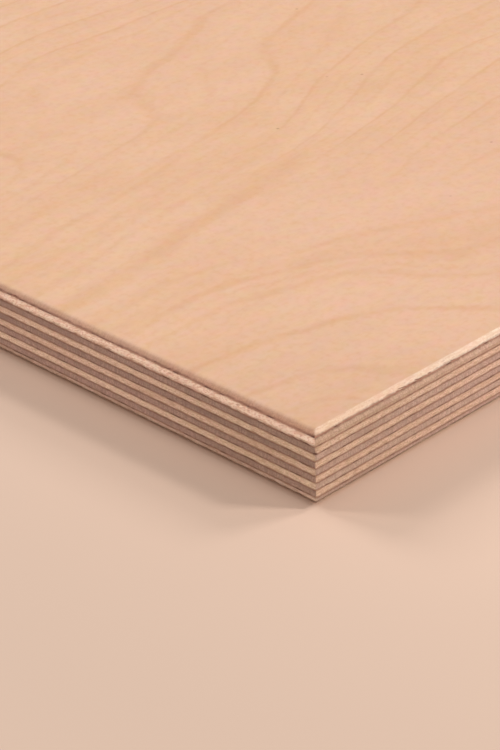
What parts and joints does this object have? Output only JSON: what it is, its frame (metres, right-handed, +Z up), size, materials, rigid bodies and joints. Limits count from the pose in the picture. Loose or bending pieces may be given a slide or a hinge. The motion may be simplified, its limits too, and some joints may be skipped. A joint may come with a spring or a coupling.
{
  "type": "plywood sheet",
  "caption": "Flat rectangular birch plywood sheet of cross-laminated veneers with dark glue lines and bevelled arrises, for panels, shelves and joinery.",
  "frame": {"origin": "middle of the underside, on the surface that the sheet lies on", "axes": "+Z up out of the face veneer; +X along the length and the grain of the face veneer; +Y across it"},
  "size_m": [0.6, 0.4, 0.015],
  "materials": {
    "birch_face_veneer": "satin",
    "birch_long_veneer": "matte",
    "birch_cross_veneer": "matte",
    "phenolic_glue": "matte"
  },
  "bodies": {
    "root": {"ply_01_face": "birch_face_veneer", "ply_02_cross": "birch_cross_veneer", "ply_03_long": "birch_long_veneer", "ply_04_cross": "birch_cross_veneer", "ply_05_long": "birch_long_veneer", "ply_06_cross": "birch_cross_veneer", "ply_07_long": "birch_long_veneer", "ply_08_cross": "birch_cross_veneer", "ply_09_long": "birch_long_veneer", "ply_10_cross": "birch_cross_veneer", "ply_11_back": "birch_face_veneer", "glue_line_01": "phenolic_glue", "glue_line_02": "phenolic_glue", "glue_line_03": "phenolic_glue", "glue_line_04": "phenolic_glue", "glue_line_05": "phenolic_glue", "glue_line_06": "phenolic_glue", "glue_line_07": "phenolic_glue", "glue_line_08": "phenolic_glue", "glue_line_09": "phenolic_glue", "glue_line_10": "phenolic_glue"}
  },
  "joints": []
}
